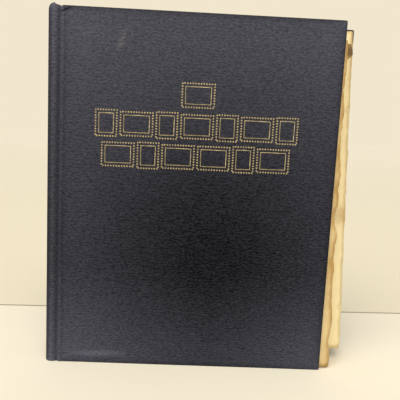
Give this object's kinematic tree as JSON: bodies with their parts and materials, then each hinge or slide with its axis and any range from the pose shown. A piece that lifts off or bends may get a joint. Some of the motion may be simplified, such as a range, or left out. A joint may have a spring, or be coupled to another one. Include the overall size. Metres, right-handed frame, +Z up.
{
  "type": "stamp album",
  "caption": "Cloth-covered post-bound stamp album standing on its tail, with hinged covers, loose leaves held by screw posts and aged leaf edges showing at the fore-edge.",
  "frame": {"origin": "centre of the bounding box at the tail, on the surface the album stands on", "axes": "+Z up from tail to head, +X from spine to fore-edge, +Y from front cover to back cover"},
  "size_m": [0.266, 0.046, 0.297],
  "materials": {
    "cover_cloth": "dark navy grained book cloth",
    "board": "grey-brown binder's board",
    "lining_cloth": "plain dark lining cloth",
    "endpaper": "aged cream endpaper",
    "strip": "cloth-covered stiff strip",
    "post_metal": "plain turned aluminium",
    "leaf_paper": "aged cream album paper, tanned at the edges"
  },
  "bodies": {
    "binding": {"spine_cloth": "cover_cloth", "spine_board": "board", "spine_lining": "lining_cloth", "front_binding_strip": "strip", "rear_binding_strip": "strip", "upper_post": "post_metal", "lower_post": "post_metal", "punched_margins": "leaf_paper", "front_joint_cloth": "cover_cloth", "rear_joint_cloth": "cover_cloth"},
    "front_cover": {"front_cover_cloth": "cover_cloth", "front_board": "board", "front_pastedown": "endpaper"},
    "back_cover": {"back_cover_cloth": "cover_cloth", "back_board": "board", "back_pastedown": "endpaper"},
    "upper_screw": {"upper_post_screw": "post_metal"},
    "lower_screw": {"lower_post_screw": "post_metal"},
    "leaf_section_01": {"leaf_section_01": "leaf_paper"},
    "leaf_section_02": {"leaf_section_02": "leaf_paper"},
    "leaf_section_03": {"leaf_section_03": "leaf_paper"},
    "leaf_section_04": {"leaf_section_04": "leaf_paper"},
    "leaf_section_05": {"leaf_section_05": "leaf_paper"},
    "leaf_section_06": {"leaf_section_06": "leaf_paper"},
    "leaf_section_07": {"leaf_section_07": "leaf_paper"},
    "leaf_section_08": {"leaf_section_08": "leaf_paper"},
    "leaf_section_09": {"leaf_section_09": "leaf_paper"},
    "leaf_section_10": {"leaf_section_10": "leaf_paper"},
    "leaf_section_11": {"leaf_section_11": "leaf_paper"},
    "leaf_section_12": {"leaf_section_12": "leaf_paper"},
    "leaf_section_13": {"leaf_section_13": "leaf_paper"},
    "leaf_section_14": {"leaf_section_14": "leaf_paper"},
    "leaf_section_15": {"leaf_section_15": "leaf_paper"},
    "leaf_section_16": {"leaf_section_16": "leaf_paper"},
    "leaf_section_17": {"leaf_section_17": "leaf_paper"},
    "leaf_section_18": {"leaf_section_18": "leaf_paper"},
    "leaf_section_19": {"leaf_section_19": "leaf_paper"},
    "leaf_section_20": {"leaf_section_20": "leaf_paper"}
  },
  "joints": [
    {"name": "front_cover_hinge", "type": "hinge", "parent": "binding", "child": "front_cover", "pos_m": [-0.1238, -0.023, 0], "axis": [0, 0, -1], "range_deg": [0, 165], "deforming": ["front_joint_cloth"]},
    {"name": "back_cover_hinge", "type": "hinge", "parent": "binding", "child": "back_cover", "pos_m": [-0.1058, 0.023, 0], "axis": [0, 0, 1], "range_deg": [0, 165], "deforming": ["rear_joint_cloth"]},
    {"name": "leaf_section_01_turn", "type": "hinge", "parent": "binding", "child": "leaf_section_01", "pos_m": [-0.081, -0.01596, 0], "axis": [0, 0, -1], "range_deg": [0, 54.5]},
    {"name": "leaf_section_02_turn", "type": "hinge", "parent": "binding", "child": "leaf_section_02", "pos_m": [-0.081, -0.01428, 0], "axis": [0, 0, -1], "range_deg": [0, 51.8]},
    {"name": "leaf_section_03_turn", "type": "hinge", "parent": "binding", "child": "leaf_section_03", "pos_m": [-0.081, -0.0126, 0], "axis": [0, 0, -1], "range_deg": [0, 49.1]},
    {"name": "leaf_section_04_turn", "type": "hinge", "parent": "binding", "child": "leaf_section_04", "pos_m": [-0.081, -0.01092, 0], "axis": [0, 0, -1], "range_deg": [0, 46.4]},
    {"name": "leaf_section_05_turn", "type": "hinge", "parent": "binding", "child": "leaf_section_05", "pos_m": [-0.081, -0.00924, 0], "axis": [0, 0, -1], "range_deg": [0, 43.7]},
    {"name": "leaf_section_06_turn", "type": "hinge", "parent": "binding", "child": "leaf_section_06", "pos_m": [-0.081, -0.00756, 0], "axis": [0, 0, -1], "range_deg": [0, 41]},
    {"name": "leaf_section_07_turn", "type": "hinge", "parent": "binding", "child": "leaf_section_07", "pos_m": [-0.081, -0.00588, 0], "axis": [0, 0, -1], "range_deg": [0, 38.3]},
    {"name": "leaf_section_08_turn", "type": "hinge", "parent": "binding", "child": "leaf_section_08", "pos_m": [-0.081, -0.0042, 0], "axis": [0, 0, -1], "range_deg": [0, 35.6]},
    {"name": "leaf_section_09_turn", "type": "hinge", "parent": "binding", "child": "leaf_section_09", "pos_m": [-0.081, -0.00252, 0], "axis": [0, 0, -1], "range_deg": [0, 32.9]},
    {"name": "leaf_section_10_turn", "type": "hinge", "parent": "binding", "child": "leaf_section_10", "pos_m": [-0.081, -0.00084, 0], "axis": [0, 0, -1], "range_deg": [0, 30.2]},
    {"name": "leaf_section_11_turn", "type": "hinge", "parent": "binding", "child": "leaf_section_11", "pos_m": [-0.081, 0.00084, 0], "axis": [0, 0, -1], "range_deg": [0, 27.5]},
    {"name": "leaf_section_12_turn", "type": "hinge", "parent": "binding", "child": "leaf_section_12", "pos_m": [-0.081, 0.00252, 0], "axis": [0, 0, -1], "range_deg": [0, 24.8]},
    {"name": "leaf_section_13_turn", "type": "hinge", "parent": "binding", "child": "leaf_section_13", "pos_m": [-0.081, 0.0042, 0], "axis": [0, 0, -1], "range_deg": [0, 22.1]},
    {"name": "leaf_section_14_turn", "type": "hinge", "parent": "binding", "child": "leaf_section_14", "pos_m": [-0.081, 0.00588, 0], "axis": [0, 0, -1], "range_deg": [0, 19.4]},
    {"name": "leaf_section_15_turn", "type": "hinge", "parent": "binding", "child": "leaf_section_15", "pos_m": [-0.081, 0.00756, 0], "axis": [0, 0, -1], "range_deg": [0, 16.7]},
    {"name": "leaf_section_16_turn", "type": "hinge", "parent": "binding", "child": "leaf_section_16", "pos_m": [-0.081, 0.00924, 0], "axis": [0, 0, -1], "range_deg": [0, 14]},
    {"name": "leaf_section_17_turn", "type": "hinge", "parent": "binding", "child": "leaf_section_17", "pos_m": [-0.081, 0.01092, 0], "axis": [0, 0, -1], "range_deg": [0, 11.3]},
    {"name": "leaf_section_18_turn", "type": "hinge", "parent": "binding", "child": "leaf_section_18", "pos_m": [-0.081, 0.0126, 0], "axis": [0, 0, -1], "range_deg": [0, 8.6]},
    {"name": "leaf_section_19_turn", "type": "hinge", "parent": "binding", "child": "leaf_section_19", "pos_m": [-0.081, 0.01428, 0], "axis": [0, 0, -1], "range_deg": [0, 5.9]},
    {"name": "leaf_section_20_turn", "type": "hinge", "parent": "binding", "child": "leaf_section_20", "pos_m": [-0.081, 0.01596, 0], "axis": [0, 0, -1], "range_deg": [0, 3.2]},
    {"name": "upper_screw_turn", "type": "hinge", "parent": "binding", "child": "upper_screw", "pos_m": [-0.092, -0.0188, 0.2555], "axis": [0, 1, 0], "continuous": true},
    {"name": "lower_screw_turn", "type": "hinge", "parent": "binding", "child": "lower_screw", "pos_m": [-0.092, -0.0188, 0.0395], "axis": [0, 1, 0], "continuous": true}
  ],
  "couplings": [
    {"joint": "leaf_section_01_turn", "follows": "front_cover_hinge", "ratio": 0.32727},
    {"joint": "leaf_section_02_turn", "follows": "front_cover_hinge", "ratio": 0.31091},
    {"joint": "leaf_section_03_turn", "follows": "front_cover_hinge", "ratio": 0.29455},
    {"joint": "leaf_section_04_turn", "follows": "front_cover_hinge", "ratio": 0.27818},
    {"joint": "leaf_section_05_turn", "follows": "front_cover_hinge", "ratio": 0.26182},
    {"joint": "leaf_section_06_turn", "follows": "front_cover_hinge", "ratio": 0.24545},
    {"joint": "leaf_section_07_turn", "follows": "front_cover_hinge", "ratio": 0.22909},
    {"joint": "leaf_section_08_turn", "follows": "front_cover_hinge", "ratio": 0.21273},
    {"joint": "leaf_section_09_turn", "follows": "front_cover_hinge", "ratio": 0.19636},
    {"joint": "leaf_section_10_turn", "follows": "front_cover_hinge", "ratio": 0.18},
    {"joint": "leaf_section_11_turn", "follows": "front_cover_hinge", "ratio": 0.16364},
    {"joint": "leaf_section_12_turn", "follows": "front_cover_hinge", "ratio": 0.14727},
    {"joint": "leaf_section_13_turn", "follows": "front_cover_hinge", "ratio": 0.13091},
    {"joint": "leaf_section_14_turn", "follows": "front_cover_hinge", "ratio": 0.11455},
    {"joint": "leaf_section_15_turn", "follows": "front_cover_hinge", "ratio": 0.09818},
    {"joint": "leaf_section_16_turn", "follows": "front_cover_hinge", "ratio": 0.08182},
    {"joint": "leaf_section_17_turn", "follows": "front_cover_hinge", "ratio": 0.06545},
    {"joint": "leaf_section_18_turn", "follows": "front_cover_hinge", "ratio": 0.04909},
    {"joint": "leaf_section_19_turn", "follows": "front_cover_hinge", "ratio": 0.03273},
    {"joint": "leaf_section_20_turn", "follows": "front_cover_hinge", "ratio": 0.01636}
  ]
}
